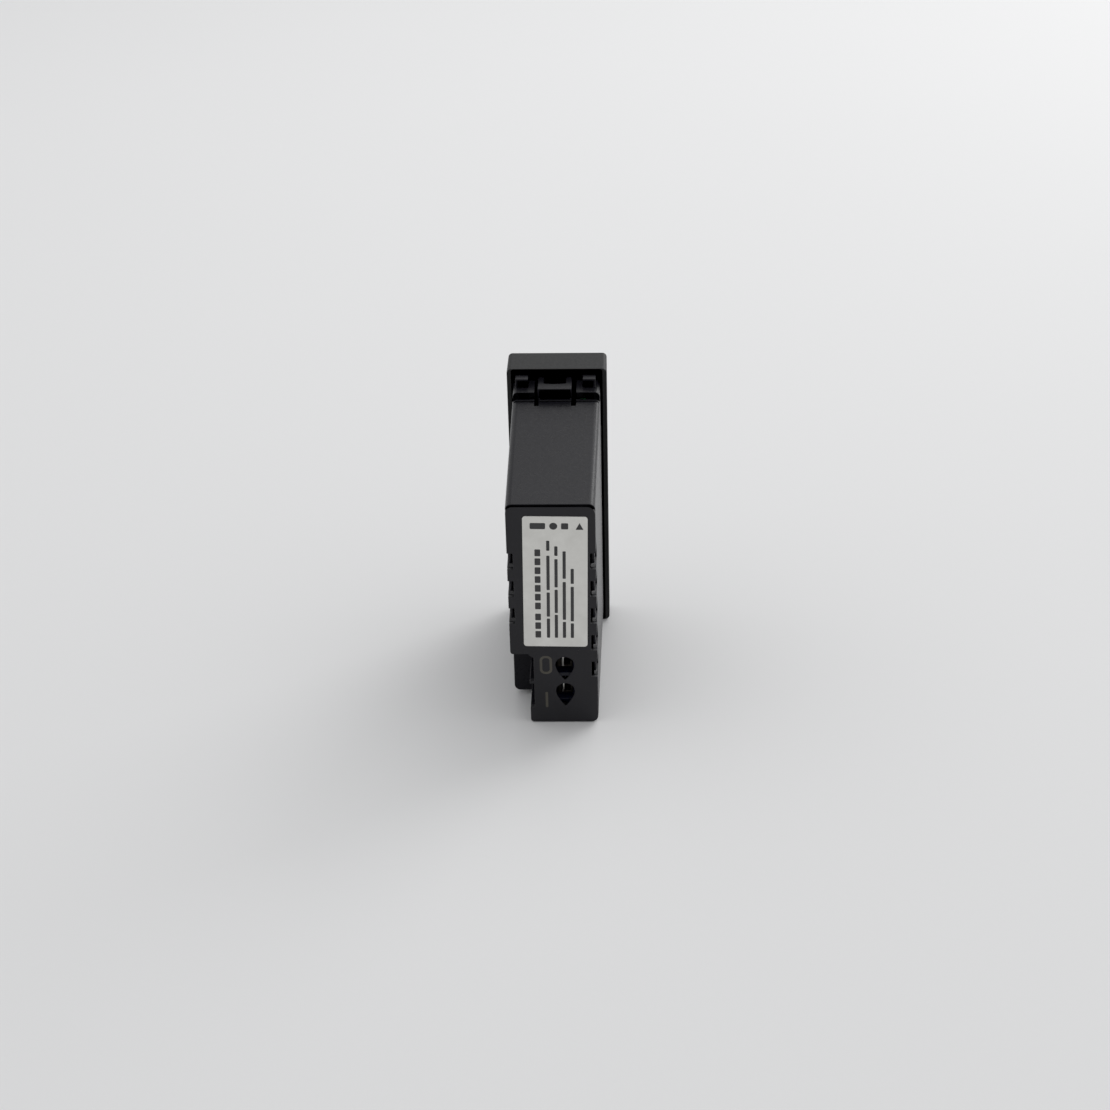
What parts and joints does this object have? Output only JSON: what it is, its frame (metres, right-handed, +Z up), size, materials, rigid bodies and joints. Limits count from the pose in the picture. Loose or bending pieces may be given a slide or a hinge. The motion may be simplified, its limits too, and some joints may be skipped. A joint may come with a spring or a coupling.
{
  "type": "in-wall usb charger module",
  "caption": "Snap-in in-wall USB charger module: narrow bezel with upright ports, tapered housing with a sprung catch, and a rear cover with wire entries and screw terminals.",
  "frame": {"origin": "centre of the bezel's front face, where the ports open", "axes": "-Y out of the wall towards the user, +Y into the wall, +Z up along the long side, X across the narrow width"},
  "size_m": [0.0166, 0.0441, 0.0498],
  "materials": {
    "casing_black": "satin",
    "cover_black": "matte",
    "label_silver": "matte",
    "contact_metal": "brushed",
    "terminal_brass": "satin",
    "screw_steel": "brushed",
    "insulator_black": "matte",
    "board_green": "satin",
    "ferrite_grey": "matte",
    "film_yellow": "satin",
    "can_aluminium": "satin",
    "resin_black": "matte"
  },
  "bodies": {
    "casing": {"bridge_rectifier": "resin_black", "circuit_board": "board_green", "controller_chip": "resin_black", "front_bezel": "casing_black", "fuse_resistor": "resin_black", "input_capacitor_a": "can_aluminium", "input_capacitor_b": "can_aluminium", "input_choke": "ferrite_grey", "main_housing": "casing_black", "output_capacitor_a": "can_aluminium", "output_capacitor_b": "can_aluminium", "output_diode": "resin_black", "rating_label": "label_silver", "rear_cover": "cover_black", "suppression_capacitor": "film_yellow", "terminal_block": "insulator_black", "terminal_plate_lower": "terminal_brass", "terminal_plate_upper": "terminal_brass", "transformer_bobbin": "resin_black", "transformer_core_front": "ferrite_grey", "transformer_core_rear": "ferrite_grey", "transformer_winding": "film_yellow", "usb_contact_lower_1": "terminal_brass", "usb_contact_lower_2": "terminal_brass", "usb_contact_lower_3": "terminal_brass", "usb_contact_lower_4": "terminal_brass", "usb_contact_upper_1": "terminal_brass", "usb_contact_upper_2": "terminal_brass", "usb_contact_upper_3": "terminal_brass", "usb_contact_upper_4": "terminal_brass", "usb_insulator_lower": "insulator_black", "usb_insulator_upper": "insulator_black", "usb_shell_lower": "contact_metal", "usb_shell_upper": "contact_metal"},
    "latch": {"latch_tongue": "casing_black"},
    "screw_upper": {"terminal_screw_upper": "screw_steel"},
    "screw_lower": {"terminal_screw_lower": "screw_steel"},
    "cage_upper": {"clamp_cage_upper": "terminal_brass"},
    "cage_lower": {"clamp_cage_lower": "terminal_brass"}
  },
  "joints": [
    {"name": "latch_flex", "type": "hinge", "parent": "casing", "child": "latch", "pos_m": [0.00025, 0.0125, 0.0211], "axis": [1, 0, 0], "range_deg": [0, 10], "stiffness_Nm_per_rad": 0.05},
    {"name": "cage_rise_upper", "type": "slide", "parent": "casing", "child": "cage_upper", "axis": [1, 0, 0], "range_m": [0, 0.0009]},
    {"name": "screw_turn_upper", "type": "hinge", "parent": "casing", "child": "screw_upper", "pos_m": [0, 0.0386, -0.00915], "axis": [-1, 0, 0], "range_deg": [0, 721]},
    {"name": "cage_rise_lower", "type": "slide", "parent": "casing", "child": "cage_lower", "axis": [1, 0, 0], "range_m": [0, 0.0009]},
    {"name": "screw_turn_lower", "type": "hinge", "parent": "casing", "child": "screw_lower", "pos_m": [0, 0.0386, -0.01423], "axis": [-1, 0, 0], "range_deg": [0, 721]}
  ],
  "couplings": [
    {"joint": "screw_turn_upper", "follows": "cage_rise_upper", "rad_per_m": 13963},
    {"joint": "screw_turn_lower", "follows": "cage_rise_lower", "rad_per_m": 13963}
  ]
}
